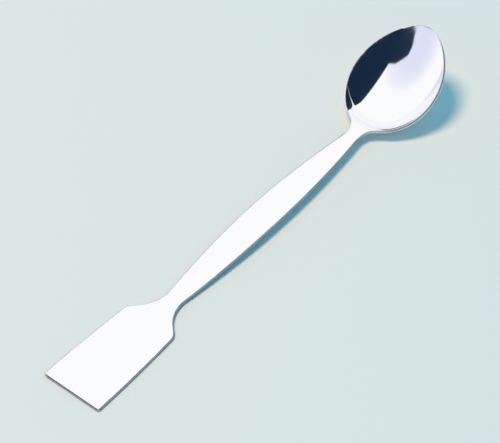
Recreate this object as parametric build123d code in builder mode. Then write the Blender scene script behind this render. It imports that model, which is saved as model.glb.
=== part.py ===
"""Lab spoon spatula: one strip of stainless steel with a flat blade and a spoon bowl.

The strip is blanked to an outline and pressed to shape, so it is one solid of one sheet
thickness.  X runs along it from the blade's tip to the bowl's tip, Y runs across it and
Z is up.  It lies on Z = 0, on the flat underside of the blade and the bottom of the bowl.
The origin is on that plane, under the middle of the strip's length.
"""

import os
from math import atan, cos, degrees, radians, sin, sqrt, tan

from build123d import *

os.makedirs("parts", exist_ok=True)

# ------------------------------------------------------------- driving dimensions, mm, degrees
sheet = 1.0  # thickness of the steel

blade_length = 34.4  # from the tip to the corners of the shoulders
blade_tip_width = 21.5
blade_mid_width = 21.0  # half way along, so that the sides are slightly bowed
blade_end_width = 19.3  # at the shoulders
blade_flat = 20.0  # length that lies flat on the table
tip_corner_radius = 0.8
shoulder_angle = 46.0  # slope of the shoulders to the strip's length
shoulder_radius = 3.5  # outer corner of each shoulder
blade_neck_radius = 12.0  # hollow between a shoulder and the handle

handle_width = 11.2  # at its widest
handle_widest = 89.3  # from the blade's tip
handle_side_radius = 371.0
handle_climb = 85.0  # length over which the handle climbs to the neck of the bowl

bowl_neck = 136.6  # from the blade's tip to where the rim starts to turn up
bowl_neck_radius = 8.0  # hollow between the handle and the bowl
bowl_start = 141.2  # from the blade's tip to the near end of the oval
bowl_length = 38.8  # length of the oval, seen from above
bowl_width = 33.6
bowl_depth = 8.0  # below the rim, at the oval's widest place
bowl_fade = 12.0  # length over which the hollow comes in at the neck
oval_taper = 0.32  # 0 is a plain ellipse, and more draws its ends in
rim_bend = 17.2  # length over which the rim turns up from the handle
rim_angle = 29.5  # slope of the rim at the end of that bend
rim_tip_angle = 34.0  # slope of the rim at the bowl's tip

# --------------------------------------------------------------------------- worked out from them
overall_length = bowl_start + bowl_length
bowl_centre = bowl_start + bowl_length / 2
half_bowl = bowl_width / 2
crown = (half_bowl**2 - bowl_depth**2) / (2 * bowl_depth)  # height of the arc's centre over the rim
bend_radius = rim_bend / sin(radians(rim_angle))
bend_end = bowl_neck + rim_bend
join = bowl_neck - 5 * sheet  # the bowl is pressed from here on, and the strip before it is plain


def steps(first, last, count):
    """Evenly spaced values from first to last, both included."""
    return [first + (last - first) * i / (count - 1) for i in range(count)]


def oval_square(x):
    """Square of the oval's half width at x, which is negative past the oval's ends."""
    along = (x - bowl_centre) / (bowl_length / 2)
    return half_bowl**2 * (1 - along**2) * (1 - oval_taper * along**2)


def oval_point(turn):
    """Point of the oval's outline, turn degrees round from its far tip."""
    along = cos(radians(turn))
    across = sin(radians(turn)) * sqrt(1 - oval_taper * along**2)
    return (bowl_centre + bowl_length / 2 * along, half_bowl * across)


def handle_side(x):
    """Half width of the handle at x, on the large arc of its side."""
    drop = handle_side_radius - sqrt(handle_side_radius**2 - (x - handle_widest) ** 2)
    return handle_width / 2 - drop


def rim_rise(x):
    """Height of the rim over the neck: an arc up to rim_angle, then a slowly growing slope."""
    if x <= bowl_neck:
        return 0.0
    if x <= bend_end:
        return bend_radius - sqrt(bend_radius**2 - (x - bowl_neck) ** 2)
    past = x - bend_end
    slope = tan(radians(rim_angle))
    growth = (tan(radians(rim_tip_angle)) - slope) / (overall_length - bend_end)
    return rim_rise(bend_end) + slope * past + growth * past**2 / 2


def hollow(x, y):
    """Depth below the rim: an arc from rim to rim across the bowl, faded in at the neck."""
    share = min(max((x - bowl_neck) / bowl_fade, 0.0), 1.0)
    fade = share**2 * (3 - 2 * share)
    return fade * (sqrt(max(oval_square(x) + crown**2 - y**2, 0.0)) - crown)


# The bottom of the bowl comes down to the table, so the neck stands this far above it.
neck_rise = max(hollow(x, 0) - rim_rise(x) for x in steps(bowl_neck, overall_length, 401))


def upper_height(x, y):
    """Height of the bowl's upper face."""
    return sheet + neck_rise + rim_rise(x) - hollow(x, y)


def lower_height(x, y):
    """Height of its lower face, one sheet thickness away measured square to the slope."""
    nudge = 0.01
    slope_x = (upper_height(x + nudge, y) - upper_height(x - nudge, y)) / (2 * nudge)
    slope_y = (upper_height(x, y + nudge) - upper_height(x, y - nudge)) / (2 * nudge)
    return upper_height(x, y) - sheet * sqrt(1 + slope_x**2 + slope_y**2)


# ----------------------------------------------------------------------- the outline of the blank
# Each straight shoulder runs down at its own slope until it meets the handle's side.
shoulder_foot = blade_length
for _ in range(20):
    drop = blade_end_width / 2 - handle_side(shoulder_foot)
    shoulder_foot = blade_length + drop / tan(radians(shoulder_angle))

# The oval meets the handle's side this many degrees round from its far tip.
meeting, past_meeting = 90.0, 180.0
for _ in range(40):
    middle = (meeting + past_meeting) / 2
    x, y = oval_point(middle)
    if y > handle_side(x):
        meeting = middle
    else:
        past_meeting = middle

tip_corner = (0, blade_tip_width / 2)
blade_side = (blade_length / 2, blade_mid_width / 2)
shoulder = (blade_length, blade_end_width / 2)
foot = (shoulder_foot, handle_side(shoulder_foot))
crest = (handle_widest, handle_width / 2)
handle_end = oval_point(meeting)

with BuildSketch() as blank:
    with BuildLine():
        Line((0, 0), tip_corner)
        ThreePointArc(tip_corner, blade_side, shoulder)
        Line(shoulder, foot)
        ThreePointArc(foot, crest, handle_end)
        mirror(about=Plane.XZ)
        Spline([oval_point(turn) for turn in steps(-meeting, meeting, 41)])
    make_face()
    for place, radius in (
        (0, tip_corner_radius),
        (blade_length, shoulder_radius),
        (shoulder_foot, blade_neck_radius),
        (handle_end[0], bowl_neck_radius),
    ):
        fillet(blank.vertices().filter_by_position(Axis.X, place - 0.01, place + 0.01), radius)

# ---------------------------------------------------------------------------------- the bowl
# Sections across the strip, from the plain neck to just past the tip, are wider than the
# blank, and the blank's outline trims them.
flat_sections = steps(join, bowl_neck, 3)
pressed_sections = steps(bowl_neck, overall_length + 2 * sheet, 20)[1:]
with BuildPart() as bowl:
    for x in flat_sections + pressed_sections:
        reach = sqrt(max(oval_square(x), 0.0) + (crown / 2) ** 2)
        across = steps(-reach, reach, 13)
        with BuildSketch(Plane.YZ.offset(x)):
            with BuildLine():
                upper = Spline([(y, upper_height(x, y)) for y in across])
                lower = Spline([(y, lower_height(x, y)) for y in across])
                Line(upper @ 0, lower @ 0)
                Line(upper @ 1, lower @ 1)
            make_face()
    loft()
    with BuildSketch(Plane.XY.offset(-sheet)):
        add(blank.sketch)
    extrude(amount=overall_length, mode=Mode.INTERSECT)

# ------------------------------------------------------------------- the blade and the handle
# Side view: a flat blade, a slow S of two equal arcs, then level to the neck of the bowl.
climb_angle = 2 * atan(neck_rise / handle_climb)
climb_radius = handle_climb / (2 * sin(climb_angle))
with BuildPart() as strip:
    with BuildSketch(Plane.XZ):
        with BuildLine():
            flat = Line((0, sheet / 2), (blade_flat, sheet / 2))
            up = JernArc(flat @ 1, (1, 0), climb_radius, degrees(climb_angle))
            back = JernArc(up @ 1, up % 1, climb_radius, -degrees(climb_angle))
            Line(back @ 1, (join, neck_rise + sheet / 2))
        trace(line_width=sheet)
    extrude(amount=blade_tip_width, both=True)
    with BuildSketch(Plane.XY.offset(-sheet)):
        add(blank.sketch)
    extrude(amount=overall_length, mode=Mode.INTERSECT)

with BuildPart() as spoon_spatula:
    with Locations((-overall_length / 2, 0)):
        add(strip.part)
        add(bowl.part)

spoon_spatula.part.label = "spoon_spatula"
export_step(spoon_spatula.part, "parts/spoon_spatula.step")
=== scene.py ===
"""Lab spoon spatula in polished stainless steel, on a pale table top."""

from math import radians

import bmesh
import bpy
import numpy as np
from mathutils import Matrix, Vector


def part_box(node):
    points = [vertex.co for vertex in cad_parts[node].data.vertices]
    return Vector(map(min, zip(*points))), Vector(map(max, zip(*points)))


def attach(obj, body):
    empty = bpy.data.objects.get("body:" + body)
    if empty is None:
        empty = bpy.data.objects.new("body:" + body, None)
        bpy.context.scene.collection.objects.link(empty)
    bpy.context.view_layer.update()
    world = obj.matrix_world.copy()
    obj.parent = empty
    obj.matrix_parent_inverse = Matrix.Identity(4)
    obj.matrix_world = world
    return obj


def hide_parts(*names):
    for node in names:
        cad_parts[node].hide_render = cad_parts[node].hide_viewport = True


bl_info = {
    "name": "Lab spoon spatula",
    "version": (1, 0, 0),
    "blender": (4, 5, 0),
    "location": "3D View > Sidebar > Spatula",
    "description": "Makes a one-piece steel spoon spatula and the table it lies on",
    "category": "Add Mesh",
}

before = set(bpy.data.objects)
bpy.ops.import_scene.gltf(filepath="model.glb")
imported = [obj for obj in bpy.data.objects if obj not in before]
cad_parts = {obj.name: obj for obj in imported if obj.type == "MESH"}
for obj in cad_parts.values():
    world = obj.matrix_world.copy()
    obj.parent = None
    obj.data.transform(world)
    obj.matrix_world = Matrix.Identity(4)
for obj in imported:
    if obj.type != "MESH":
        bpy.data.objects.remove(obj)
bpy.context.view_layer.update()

MM = 0.001

# Camera, in mm and degrees: where it stands, which way it looks, how far down, and its lens.
CAMERA_PLACE = (-267.1, -208.1, 341.3)
CAMERA_AZIMUTH = 38.74
CAMERA_DROP = 45.26
CAMERA_LENS = 108.0
SENSOR_WIDTH = 36.0

# The key is a soft round lamp high over the table, in mm and watts.
KEY_FROM = (-0.24, 0.28, 1.0)
KEY_DISTANCE = 2600.0
KEY_SIZE = 910.0
KEY_POWER = 60.5

# Strength of the cool light from all round, where white is 1.
SKY_STRENGTH = 0.66
WHITE = (1.0, 1.0, 1.0, 1.0)

# Corners of the cards that show in the bowl, in mm, and the glow on the pale one.
DARK_SIDE = (
    (-3000, -600, 900), (-725, -600, 420), (-250, -600, 280), (5600, -600, 0), (-3000, -600, 3080))
DARK_END = (
    (-725, -600, 425), (-725, -60, 420), (-725, 130, 465), (-725, 232, 535), (-725, 250, 615),
    (-725, 20, 790), (-725, -600, 950))
PALE_END = ((-3100, -600, 0), (-3100, 8000, 0), (-3100, 8000, 8000), (-3100, -600, 8000))
GLOW_CENTRE = (-3100, 1900, 1700)
GLOW_RADIUS = 5500

# Half the side of the table, in mm.
TABLE_REACH = 4000.0

# Rows of points in the blade's corners, along blade and handle, up to the oval and round it.
CORNER_ROWS, PLAIN_ROWS, NECK_ROWS, OVAL_ROWS = 9, 270, 24, 150
# The rows follow the oval's turn from this far past its near end, in mm.
OVAL_LEAD = 3.0
# Points across the strip, in each rounded edge, and along the bowl to find its lowest place.
COLUMNS, ROUNDING_POINTS, SEARCH_POINTS = 65, 6, 2001
# Points closer than this are one, and a face thinner than this is dropped, in metres.
MERGE_DISTANCE, THINNEST_FACE = 1e-7, 1e-8

# Polishing lines and the slow unevenness of the pressing, in mm.
GRAIN_LENGTH, GRAIN_SPACING, WAVE_LENGTH = 8.0, 0.12, 9.0
# Middle part of the range of the noise, which makes the whole range of the gloss.
GRAIN_LOW, GRAIN_HIGH = 0.3, 0.7
FACE_ROUGHNESS_LOW, FACE_ROUGHNESS_HIGH, EDGE_ROUGHNESS = 0.045, 0.09, 0.38
# Painted shade on the cut edge round the bowl, where the rim shows bright, as a share of the
# painted shade on the rest of the edge.
RIM_PAINTED_SHADE = 0.2

# Sockets of the Mix node, where numbers and colours go by the same names.
NUMBER_A, NUMBER_B, NUMBER_OUT = 2, 3, 0
COLOUR_A, COLOUR_B, COLOUR_OUT = 6, 7, 2

NODE_LOW, NODE_HIGH = (np.array(corner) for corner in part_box("spoon_spatula"))
LENGTH = float(NODE_HIGH[0] - NODE_LOW[0])
BOWL_WIDTH = float(NODE_HIGH[1] - NODE_LOW[1])


# ------------------------------------------------------------------------------ sizes and colours
class SpatulaSizes(bpy.types.PropertyGroup):
    """Sizes of the strip of steel, with places measured from the blade's tip"""

    sheet: bpy.props.FloatProperty(
        name="Sheet", description="Thickness of the steel", default=1.0 * MM, unit="LENGTH")
    edge_round: bpy.props.FloatProperty(
        name="Edge rounding", description="Radius left on the edges by tumbling",
        default=0.26 * MM, unit="LENGTH")
    tip_corner: bpy.props.FloatProperty(
        name="Tip corner", description="Corner radius of the blade's tip",
        default=0.8 * MM, unit="LENGTH")
    blade_length: bpy.props.FloatProperty(
        name="Blade length", description="Tip to the corners of the shoulders",
        default=34.4 * MM, unit="LENGTH")
    blade_tip_width: bpy.props.FloatProperty(
        name="Blade tip width", description="Width at the tip", default=21.5 * MM, unit="LENGTH")
    blade_mid_width: bpy.props.FloatProperty(
        name="Blade middle width", description="Width half way along the blade",
        default=21.0 * MM, unit="LENGTH")
    blade_end_width: bpy.props.FloatProperty(
        name="Blade end width", description="Width at the shoulders",
        default=19.3 * MM, unit="LENGTH")
    blade_flat: bpy.props.FloatProperty(
        name="Blade flat", description="Length that lies flat on the table",
        default=20.0 * MM, unit="LENGTH")
    shoulder_slope: bpy.props.FloatProperty(
        name="Shoulder slope", description="Angle of the shoulders to the length",
        default=radians(46.0), unit="ROTATION")
    shoulder_radius: bpy.props.FloatProperty(
        name="Shoulder radius", description="Outer corner of each shoulder",
        default=3.5 * MM, unit="LENGTH")
    blade_neck_radius: bpy.props.FloatProperty(
        name="Blade neck radius", description="Hollow between shoulder and handle",
        default=12.0 * MM, unit="LENGTH")
    handle_width: bpy.props.FloatProperty(
        name="Handle width", description="Width of the handle at its widest",
        default=11.2 * MM, unit="LENGTH")
    handle_widest: bpy.props.FloatProperty(
        name="Handle widest", description="Where the handle is widest",
        default=89.3 * MM, unit="LENGTH")
    handle_side_radius: bpy.props.FloatProperty(
        name="Handle side radius", description="Radius of the handle's bowed sides",
        default=371.0 * MM, unit="LENGTH")
    handle_climb: bpy.props.FloatProperty(
        name="Handle climb", description="Length over which the handle climbs to the neck",
        default=85.0 * MM, unit="LENGTH")
    bowl_neck: bpy.props.FloatProperty(
        name="Bowl neck", description="Where the rim starts to turn up",
        default=136.6 * MM, unit="LENGTH")
    bowl_neck_radius: bpy.props.FloatProperty(
        name="Bowl neck radius", description="Hollow between handle and bowl",
        default=8.0 * MM, unit="LENGTH")
    bowl_start: bpy.props.FloatProperty(
        name="Bowl start", description="Near end of the oval", default=141.2 * MM, unit="LENGTH")
    bowl_depth: bpy.props.FloatProperty(
        name="Bowl depth", description="Depth below the rim at the widest place",
        default=8.0 * MM, unit="LENGTH")
    bowl_fade: bpy.props.FloatProperty(
        name="Bowl fade", description="Length over which the hollow comes in",
        default=12.0 * MM, unit="LENGTH")
    oval_taper: bpy.props.FloatProperty(
        name="Oval taper", description="0 is a plain ellipse, more draws the ends in",
        default=0.32, min=0.0, max=0.6)
    rim_bend: bpy.props.FloatProperty(
        name="Rim bend", description="Length over which the rim turns up",
        default=17.2 * MM, unit="LENGTH")
    rim_angle: bpy.props.FloatProperty(
        name="Rim angle", description="Slope of the rim at the end of that bend",
        default=radians(29.5), unit="ROTATION")
    rim_tip_angle: bpy.props.FloatProperty(
        name="Rim tip angle", description="Slope of the rim at the bowl's tip",
        default=radians(34.0), unit="ROTATION")


class SpatulaColours(bpy.types.PropertyGroup):
    """Colours of the steel, the table and the studio, as sRGB hex values"""

    steel: bpy.props.StringProperty(
        name="Steel", description="Face of the polished steel", default="FDFDFE")
    steel_grain: bpy.props.StringProperty(
        name="Steel grain", description="Steel in the valleys of its grain", default="F7F8FC")
    # Blue grey of the cut edge is painted shade: it stands in for the shadowed table the edge
    # reflects.
    steel_edge_painted_shade: bpy.props.StringProperty(
        name="Steel edge", description="Steel of the cut edge", default="A3ABB8")
    table: bpy.props.StringProperty(
        name="Table", description="Table top as the camera sees it", default="D9E5E5")
    room: bpy.props.StringProperty(
        name="Room", description="Dark room round the table, seen in the bowl", default="17293F")
    sky: bpy.props.StringProperty(
        name="Sky", description="Weak cool light from all round", default="8BDEFF")
    wall: bpy.props.StringProperty(
        name="Wall", description="Pale wall behind the camera, seen in the bowl", default="DEE3F7")
    key: bpy.props.StringProperty(
        name="Key", description="Slightly warm light of the key lamp", default="FFD0AC")


# --------------------------------------------------------------------------------- the strip's form
def rolled(height, step, radius, inward):
    """Round the corners of a height line with a ball rolled along it.

    The line is raised to the envelope of balls that stand on it and lowered by the same
    balls, which fills hollow corners to the ball's radius.  Done upside down it rounds
    outer corners.
    """
    reach = int(radius / step)
    offsets = np.arange(-reach, reach + 1)
    ball = np.sqrt(np.maximum(radius**2 - (offsets * step) ** 2, 0.0))
    line = height if inward else -height
    for sign in (1.0, -1.0):
        padded = np.pad(sign * line, reach, mode="edge")
        windows = np.lib.stride_tricks.sliding_window_view(padded, offsets.size)
        line = sign * np.max(windows + ball, axis=1)
    return line if inward else -line


class Strip:
    """The strip's outline and heights, as functions of the distance from the blade's tip."""

    def __init__(self, sizes):
        self.s = sizes
        # The edge is square to the steel, so round the bowl it leans out past the rim.
        lean = np.arctan2(BOWL_WIDTH / 2, self.crown_height(BOWL_WIDTH / 2))
        self.lean = sizes.sheet * np.sin(lean)
        self.half_bowl = BOWL_WIDTH / 2 - self.lean
        self.start = sizes.bowl_start + self.lean
        self.end = LENGTH - self.lean
        self.centre = (self.start + self.end) / 2
        self.half_length = (self.end - self.start) / 2
        self.crown = self.crown_height(self.half_bowl)
        self.bend_radius = sizes.rim_bend / np.sin(sizes.rim_angle)
        self.bend_end = sizes.bowl_neck + sizes.rim_bend
        # The neck is as high as it takes for the bowl's lowest place to touch the table.
        self.neck_rise = 0.0
        along = np.linspace(sizes.bowl_neck, self.end, SEARCH_POINTS)
        self.neck_rise = float(np.max(sizes.sheet - self.height(along, np.zeros_like(along))))
        self.step = 0.02 * MM
        self.table_x = np.arange(0.0, self.end, self.step)
        self.table_w = self.outline(self.table_x)

    def crown_height(self, half):
        """Height over the rim of the centre of the bowl's arc, from its half chord and depth."""
        return (half**2 - self.s.bowl_depth**2) / (2 * self.s.bowl_depth)

    def oval_square(self, x):
        """Square of the oval's half width: an ellipse whose ends are drawn in."""
        along = (x - self.centre) / self.half_length
        drawn_in = np.maximum(1 - self.s.oval_taper * along**2, 0.0)
        return self.half_bowl**2 * (1 - along**2) * drawn_in

    def handle_side(self, x):
        """Half width of the handle, on one large arc."""
        radius = self.s.handle_side_radius
        away = x - self.s.handle_widest
        return self.s.handle_width / 2 - radius + np.sqrt(radius**2 - away**2)

    def outline(self, x):
        """Half width: blade arc, straight shoulder, handle arc and oval, with rounded corners."""
        s = self.s
        middle = s.blade_length / 2
        quarter = (s.blade_tip_width + s.blade_end_width) / 4
        bulge = s.blade_mid_width / 2 - quarter
        taper = (s.blade_end_width - s.blade_tip_width) / 2 / s.blade_length
        blade = quarter + taper * (x - middle) + bulge * (1 - ((x - middle) / middle) ** 2)
        fall = s.blade_end_width / 2 - (x - s.blade_length) * np.tan(s.shoulder_slope)
        near = np.where(x < s.blade_length, blade, np.maximum(fall, self.handle_side(x)))
        shoulders = rolled(near, self.step, s.shoulder_radius, inward=False)
        shoulders = rolled(shoulders, self.step, s.blade_neck_radius, inward=True)
        oval = np.sqrt(np.maximum(self.oval_square(x), 0.0))
        far = np.maximum(self.handle_side(x), oval)
        neck = rolled(far, self.step, s.bowl_neck_radius, inward=True)
        half = np.where(x < s.handle_widest, shoulders, np.where(x < self.centre, neck, oval))
        corner = np.maximum(s.tip_corner - x, 0.0)
        return half - s.tip_corner + np.sqrt(s.tip_corner**2 - corner**2)

    def half_width(self, x):
        """Half width at any x, from the table, or on the bowl's far half from the oval itself."""
        oval = np.sqrt(np.maximum(self.oval_square(x), 0.0))
        return np.where(x > self.centre, oval, np.interp(x, self.table_x, self.table_w))

    def climb(self, x):
        """Slow S of two equal arcs, from the flat blade up to the neck's height."""
        run = self.s.handle_climb
        turn = 2 * np.arctan(self.neck_rise / run)
        if turn == 0:
            return np.zeros_like(x)
        radius = run / (2 * np.sin(turn))
        u = np.clip(x - self.s.blade_flat, 0.0, run)
        first = radius - np.sqrt(radius**2 - np.minimum(u, run / 2) ** 2)
        second = radius - np.sqrt(radius**2 - np.minimum(run - u, run / 2) ** 2)
        return np.where(u < run / 2, first, self.neck_rise - second)

    def rim_rise(self, x):
        """Rim over the neck: an arc up to rim_angle, then a slowly growing slope."""
        s = self.s
        u = np.clip(x - s.bowl_neck, 0.0, s.rim_bend)
        arc = self.bend_radius - np.sqrt(self.bend_radius**2 - u**2)
        past = np.maximum(x - self.bend_end, 0.0)
        slope = np.tan(s.rim_angle)
        growth = (np.tan(s.rim_tip_angle) - slope) / (LENGTH - self.bend_end)
        return arc + slope * past + growth * past**2 / 2

    def height(self, x, y):
        """Upper face: climb and rim, less an arc from rim to rim.

        The arc fades in from the neck by a smoother step, which is level at both ends.
        """
        share = np.clip((x - self.s.bowl_neck) / self.s.bowl_fade, 0.0, 1.0)
        fade = share**3 * (10 - 15 * share + 6 * share**2)
        arc = np.sqrt(np.maximum(self.oval_square(x) + self.crown**2 - y**2, 0.0)) - self.crown
        return self.s.sheet + self.climb(x) + self.rim_rise(x) - fade * arc

    def place(self, x, y):
        """Point of the upper face in the shared frame."""
        return np.stack([x - LENGTH / 2, y, self.height(x, y)], axis=-1)

    def normal(self, x, y):
        """Unit normal of the upper face, from its slopes."""
        nudge = 0.01 * MM
        slope_x = (self.height(x + nudge, y) - self.height(x - nudge, y)) / (2 * nudge)
        slope_y = (self.height(x, y + nudge) - self.height(x, y - nudge)) / (2 * nudge)
        normal = np.stack([-slope_x, -slope_y, np.ones_like(slope_x)], axis=-1)
        return normal / np.linalg.norm(normal, axis=-1, keepdims=True)


def mesh_object(name, points, faces):
    """New object whose mesh has these points and faces, smooth shaded."""
    mesh = bpy.data.meshes.new(name)
    mesh.from_pydata(points.tolist(), [], faces.tolist())
    mesh.polygons.foreach_set("use_smooth", np.ones(len(mesh.polygons), dtype=bool))
    mesh.update()
    piece = bpy.data.objects.new(name, mesh)
    bpy.context.scene.collection.objects.link(piece)
    return piece


def clean_mesh(piece):
    """Merge doubled points, drop faces that closed up, and point every face outwards."""
    work = bmesh.new()
    work.from_mesh(piece.data)
    bmesh.ops.remove_doubles(work, verts=work.verts, dist=MERGE_DISTANCE)
    bmesh.ops.dissolve_degenerate(work, edges=work.edges, dist=THINNEST_FACE)
    bmesh.ops.recalc_face_normals(work, faces=work.faces)
    work.to_mesh(piece.data)
    work.free()


def grid_faces(rows, columns, first=0):
    """Four corner numbers of each cell of a grid of points, row by row."""
    corner = first + np.arange(rows - 1)[:, None] * columns + np.arange(columns - 1)[None, :]
    cells = np.stack([corner, corner + 1, corner + columns + 1, corner + columns], axis=-1)
    return cells.reshape(-1, 4)


def rows_along(strip):
    """Distances of the grid's rows from the blade's tip.

    They go round the blade's corners by equal turns, evenly along blade and handle, and
    round the oval by equal turns again, so that corners and oval stay round.
    """
    s = strip.s
    corner = s.tip_corner * (1 - np.cos(np.linspace(0, np.pi / 2, CORNER_ROWS)))
    plain = np.linspace(s.tip_corner, s.bowl_neck, PLAIN_ROWS)[1:]
    to_oval = np.linspace(s.bowl_neck, strip.start + OVAL_LEAD * MM, NECK_ROWS)[1:]
    near_turn = np.arccos((strip.centre - to_oval[-1]) / strip.half_length)
    turns = np.linspace(near_turn, np.pi, OVAL_ROWS)[1:]
    oval = strip.centre - strip.half_length * np.cos(turns)
    return np.concatenate([corner, plain, to_oval, oval])


def once_round(rows, columns):
    """Row and column of the grid's outer points: over the blade's tip, out and back."""
    tip = [(0, c) for c in range(columns)]
    out = [(r, columns - 1) for r in range(1, rows)]
    back = [(r, 0) for r in range(rows - 2, 0, -1)]
    return tuple(np.array(tip + out + back).T)


def edge_profile(sizes):
    """Rounded corner, flat and the other corner of the edge, as (out, down) points."""
    r = sizes.edge_round
    turn = np.linspace(0, np.pi / 2, ROUNDING_POINTS)
    top = np.stack([r * np.sin(turn), r * (1 - np.cos(turn))], axis=1)
    bottom = np.stack([top[::-1, 0], sizes.sheet - top[::-1, 1]], axis=1)
    profile = np.concatenate([top, bottom])
    profile[:, 0] -= r
    return profile


def build_spatula(sizes):
    """Closed shell: an upper face, the same face one sheet lower, and a rounded edge between.

    The faces are grids of distance along by share across, so their cells follow the
    outline.  The edge is a profile carried once round the outline, square to the steel.
    The attribute is 1 on the sheared edge and 0 on the faces. It marks the edge and sets the
    painted shade on it, which is weaker round the bowl, where the rim shows bright.
    """
    strip = Strip(sizes)
    along = rows_along(strip)
    share = np.linspace(-1, 1, COLUMNS)
    x = np.repeat(along[:, None], share.size, axis=1)
    y = strip.half_width(along)[:, None] * share[None, :]
    upper = strip.place(x, y)
    normals = strip.normal(x, y)
    lower = upper - sizes.sheet * normals

    loop = once_round(*x.shape)
    edge = upper[loop]
    edge_normal = normals[loop]
    tangent = np.roll(edge, -1, axis=0) - np.roll(edge, 1, axis=0)
    outward = np.cross(edge_normal, tangent)
    outward /= np.linalg.norm(outward, axis=1, keepdims=True)
    profile = edge_profile(sizes)
    band = (edge[:, None, :] + profile[None, :, :1] * outward[:, None, :]
            - profile[None, :, 1:] * edge_normal[:, None, :])
    band = np.concatenate([band, band[:1]])

    # The faces stop where the edge's rounding starts.
    inner = edge - sizes.edge_round * outward
    upper[loop] = inner
    lower[loop] = inner - sizes.sheet * edge_normal

    count = x.size
    points = np.concatenate([upper.reshape(-1, 3), lower.reshape(-1, 3), band.reshape(-1, 3)])
    faces = np.concatenate([
        grid_faces(*x.shape),
        grid_faces(*x.shape, count)[:, ::-1],
        grid_faces(len(band), len(profile), 2 * count),
    ])
    piece = mesh_object("steel_spatula", points, faces)
    # Edge mark and painted shade: full on the edge, weaker round the bowl where the rim shows
    # bright.
    rim = np.clip((points[:, 0] + LENGTH / 2 - sizes.bowl_neck) / sizes.bowl_fade, 0.0, 1.0)
    on_edge = np.arange(len(points)) >= 2 * count
    edge_and_painted_shade = np.where(on_edge, 1.0 - (1.0 - RIM_PAINTED_SHADE) * rim, 0.0)
    attribute = piece.data.attributes.new("edge_and_painted_shade", "FLOAT", "POINT")
    attribute.data.foreach_set("value", edge_and_painted_shade.astype(np.float32))
    clean_mesh(piece)
    return piece


# ------------------------------------------------------------------------------------- materials
def linear(code):
    """Linear RGBA of an sRGB hex colour."""
    values = np.array([int(code[i:i + 2], 16) for i in (0, 2, 4)]) / 255
    values = np.where(values <= 0.04045, values / 12.92, ((values + 0.055) / 1.055) ** 2.4)
    return (*values.tolist(), 1.0)


def add_node(tree, kind, links=None, settings=None, **sockets):
    """Add a node, set its properties and socket values, and link its inputs."""
    node = tree.nodes.new(kind)
    for name, value in (settings or {}).items():
        setattr(node, name, value)
    for name, value in sockets.items():
        node.inputs[name.replace("_", " ")].default_value = value
    for name, output in (links or {}).items():
        tree.links.new(output, node.inputs[name])
    return node


def empty_material(name):
    """New material and its node tree, with no node in it."""
    material = bpy.data.materials.new(name)
    material.use_nodes = True
    material.node_tree.nodes.clear()
    return material, material.node_tree


def polished_stainless_steel(colours):
    """18/8 stainless steel, pressed bright and tumbled.

    A near mirror that is a little soft, with a grain drawn along the strip, so lights
    and dark things show in it with slightly feathered edges.
    """
    material, tree = empty_material("polished_stainless_steel")
    place = add_node(tree, "ShaderNodeTexCoord")
    # Polishing lines along the strip, coarser than real ones, so that they show.
    across = 1 / (GRAIN_SPACING * MM)
    lengthways = add_node(
        tree, "ShaderNodeMapping", {"Vector": place.outputs["Object"]},
        Scale=(1 / (GRAIN_LENGTH * MM), across, across))
    grain = add_node(
        tree, "ShaderNodeTexNoise", {"Vector": lengthways.outputs["Vector"]},
        Scale=1.0, Detail=3.0, Roughness=0.6)
    # Slow unevenness of the pressing.
    wave = add_node(
        tree, "ShaderNodeTexNoise", {"Vector": place.outputs["Object"]},
        Scale=1 / (WAVE_LENGTH * MM), Detail=1.0)
    gloss = add_node(
        tree, "ShaderNodeMapRange", {"Value": grain.outputs["Fac"]},
        From_Min=GRAIN_LOW, From_Max=GRAIN_HIGH,
        To_Min=FACE_ROUGHNESS_LOW, To_Max=FACE_ROUGHNESS_HIGH)
    tint = add_node(
        tree, "ShaderNodeMix", {"Factor": grain.outputs["Fac"]}, {"data_type": "RGBA"})
    tint.inputs[COLOUR_A].default_value = linear(colours.steel_grain)
    tint.inputs[COLOUR_B].default_value = linear(colours.steel)
    # The cut edge is tumbled and not polished, so it is duller than the faces; its blue grey is
    # painted shade, standing in for the shadowed table it reflects.
    cut = add_node(tree, "ShaderNodeAttribute", None, {"attribute_name": "edge_and_painted_shade"})
    colour = add_node(
        tree, "ShaderNodeMix",
        {"Factor": cut.outputs["Fac"], COLOUR_A: tint.outputs[COLOUR_OUT]},
        {"data_type": "RGBA"})
    colour.inputs[COLOUR_B].default_value = linear(colours.steel_edge_painted_shade)
    # All of the edge is equally dull, and only its painted shade fades round the bowl.
    unpolished = add_node(
        tree, "ShaderNodeMapRange", {"Value": cut.outputs["Fac"]}, From_Max=RIM_PAINTED_SHADE)
    dull = add_node(
        tree, "ShaderNodeMix",
        {"Factor": unpolished.outputs["Result"], NUMBER_A: gloss.outputs["Result"]})
    dull.inputs[NUMBER_B].default_value = EDGE_ROUGHNESS
    press = add_node(
        tree, "ShaderNodeBump", {"Height": wave.outputs["Fac"]}, Strength=0.05, Distance=0.2 * MM)
    lines = add_node(
        tree, "ShaderNodeBump",
        {"Height": grain.outputs["Fac"], "Normal": press.outputs["Normal"]},
        Strength=0.03, Distance=0.01 * MM)
    shader = add_node(
        tree, "ShaderNodeBsdfPrincipled",
        {"Base Color": colour.outputs[COLOUR_OUT], "Roughness": dull.outputs[NUMBER_OUT],
         "Normal": lines.outputs["Normal"]},
        Metallic=1.0)
    add_node(tree, "ShaderNodeOutputMaterial", {"Surface": shader.outputs["BSDF"]})
    return material


def table_top(colours):
    """Smooth pale laminate: matt, without a pattern."""
    material = bpy.data.materials.new("pale_laminate")
    material.use_nodes = True
    shader = material.node_tree.nodes["Principled BSDF"]
    shader.inputs["Base Color"].default_value = linear(colours.table)
    shader.inputs["Roughness"].default_value = 0.9
    shader.inputs["Specular IOR Level"].default_value = 0.1
    return material


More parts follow.
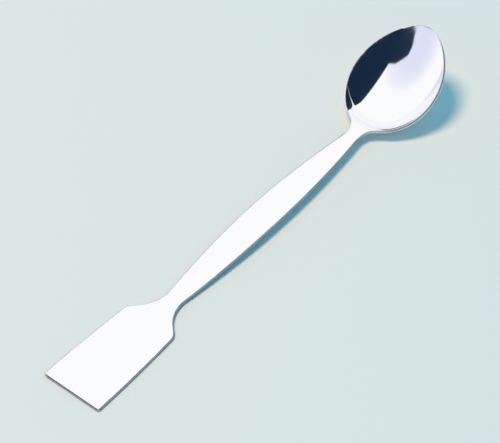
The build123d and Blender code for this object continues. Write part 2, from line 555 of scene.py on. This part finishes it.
def seen_colour(name, code):
    """Plain colour that mirrors show as it is written."""
    material, tree = empty_material(name)
    glow = add_node(tree, "ShaderNodeEmission", Color=linear(code), Strength=1.0)
    add_node(tree, "ShaderNodeOutputMaterial", {"Surface": glow.outputs["Emission"]})
    return material


def lavender_wall(colours):
    """White wall with a wide lavender glow on it."""
    material, tree = empty_material("lavender_wall")
    place = add_node(tree, "ShaderNodeTexCoord")
    away = add_node(
        tree, "ShaderNodeVectorMath", {0: place.outputs["Object"]}, {"operation": "DISTANCE"})
    away.inputs[1].default_value = Vector(GLOW_CENTRE) * MM
    fade = add_node(
        tree, "ShaderNodeMapRange", {"Value": away.outputs["Value"]},
        {"interpolation_type": "SMOOTHSTEP"}, From_Max=GLOW_RADIUS * MM)
    tint = add_node(
        tree, "ShaderNodeMix", {"Factor": fade.outputs["Result"]}, {"data_type": "RGBA"})
    tint.inputs[COLOUR_A].default_value = linear(colours.wall)
    tint.inputs[COLOUR_B].default_value = WHITE
    glow = add_node(
        tree, "ShaderNodeEmission", {"Color": tint.outputs[COLOUR_OUT]}, Strength=1.0)
    add_node(tree, "ShaderNodeOutputMaterial", {"Surface": glow.outputs["Emission"]})
    return material


def studio_world(colours):
    """White to the camera, to mirrors and through glass, and a weak cool sky to matt things."""
    world = bpy.data.worlds.new("studio")
    world.use_nodes = True
    tree = world.node_tree
    tree.nodes.clear()
    ray = add_node(tree, "ShaderNodeLightPath")
    seen = add_node(
        tree, "ShaderNodeMath", {0: ray.outputs["Is Camera Ray"], 1: ray.outputs["Is Glossy Ray"]},
        {"operation": "MAXIMUM"})
    white = add_node(
        tree, "ShaderNodeMath", {0: seen.outputs[0], 1: ray.outputs["Is Transmission Ray"]},
        {"operation": "MAXIMUM"})
    sky = add_node(
        tree, "ShaderNodeBackground", Color=linear(colours.sky), Strength=SKY_STRENGTH)
    bright = add_node(tree, "ShaderNodeBackground", Color=WHITE, Strength=1.0)
    either = add_node(
        tree, "ShaderNodeMixShader",
        {0: white.outputs[0], 1: sky.outputs["Background"], 2: bright.outputs["Background"]})
    add_node(tree, "ShaderNodeOutputWorld", {"Surface": either.outputs["Shader"]})
    return world


def card(name, corners, material):
    """Flat card that shows only in mirrors and throws no shadow."""
    piece = mesh_object(name, np.array(corners) * MM, np.arange(len(corners))[None, :])
    piece.data.materials.append(material)
    piece.visible_camera = False
    piece.visible_diffuse = False
    piece.visible_shadow = False


def key_lamp(colours):
    """Round lamp turned to the middle of the table, unseen in the steel."""
    data = bpy.data.lights.new("key", "AREA")
    data.shape = "DISK"
    data.size = KEY_SIZE * MM
    data.energy = KEY_POWER
    data.color = linear(colours.key)[:3]
    lamp = bpy.data.objects.new("key", data)
    lamp.location = Vector(KEY_FROM).normalized() * KEY_DISTANCE * MM
    lamp.rotation_euler = Vector(KEY_FROM).to_track_quat("Z", "Y").to_euler()
    lamp.visible_glossy = False
    return lamp


def long_camera():
    """Camera with a long lens, from the blade's end and one side, looking down."""
    data = bpy.data.cameras.new("camera")
    data.lens = CAMERA_LENS
    data.sensor_width = SENSOR_WIDTH
    camera = bpy.data.objects.new("camera", data)
    camera.location = Vector(CAMERA_PLACE) * MM
    camera.rotation_euler = (radians(90 - CAMERA_DROP), 0.0, radians(CAMERA_AZIMUTH - 90))
    return camera


# -------------------------------------------------------------------------------------- operators
class SPATULA_OT_strip(bpy.types.Operator):
    """Make the steel strip: blade, handle and bowl in one piece"""

    bl_idname = "spatula.strip"
    bl_label = "Steel strip"

    def execute(self, context):
        scene = context.scene
        piece = build_spatula(scene.spatula_sizes)
        piece.data.materials.append(polished_stainless_steel(scene.spatula_colours))
        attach(piece, "root")
        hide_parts("spoon_spatula")
        return {"FINISHED"}


class SPATULA_OT_stage(bpy.types.Operator):
    """Make the table, the cards, the world, the lamp and the camera"""

    bl_idname = "spatula.stage"
    bl_label = "Table, lamp and camera"

    def execute(self, context):
        scene = context.scene
        colours = scene.spatula_colours
        square = np.array([(-1, -1, 0), (1, -1, 0), (1, 1, 0), (-1, 1, 0)])
        table = mesh_object("table", TABLE_REACH * MM * square, np.arange(4)[None, :])
        table.data.materials.append(table_top(colours))

        cloth = seen_colour("navy_cloth", colours.room)
        card("dark_side", DARK_SIDE, cloth)
        card("dark_end", DARK_END, cloth)
        card("pale_end", PALE_END, lavender_wall(colours))

        scene.world = studio_world(colours)
        scene.collection.objects.link(key_lamp(colours))
        scene.camera = long_camera()
        scene.collection.objects.link(scene.camera)
        scene.view_settings.view_transform = "Standard"
        return {"FINISHED"}


class SPATULA_PT_panel(bpy.types.Panel):
    """Lists the pieces that can be made and their sizes"""

    bl_idname = "SPATULA_PT_panel"
    bl_label = "Spoon spatula"
    bl_space_type = "VIEW_3D"
    bl_region_type = "UI"
    bl_category = "Spatula"

    def draw(self, context):
        scene = context.scene
        for operator in OPERATORS:
            self.layout.operator(operator.bl_idname)
        for group in (scene.spatula_sizes, scene.spatula_colours):
            box = self.layout.box()
            for name in group.__annotations__:
                box.prop(group, name)


OPERATORS = (SPATULA_OT_strip, SPATULA_OT_stage)
CLASSES = (SpatulaSizes, SpatulaColours, *OPERATORS, SPATULA_PT_panel)


def register():
    """Add the classes and hang the sizes and colours on the scene."""
    for kind in CLASSES:
        bpy.utils.register_class(kind)
    bpy.types.Scene.spatula_sizes = bpy.props.PointerProperty(type=SpatulaSizes)
    bpy.types.Scene.spatula_colours = bpy.props.PointerProperty(type=SpatulaColours)


def unregister():
    """Take them off again."""
    del bpy.types.Scene.spatula_colours
    del bpy.types.Scene.spatula_sizes
    for kind in reversed(CLASSES):
        bpy.utils.unregister_class(kind)


def main():
    """Make everything in order."""
    register()
    bpy.ops.spatula.strip()
    bpy.ops.spatula.stage()


if __name__ == "__main__":
    main()
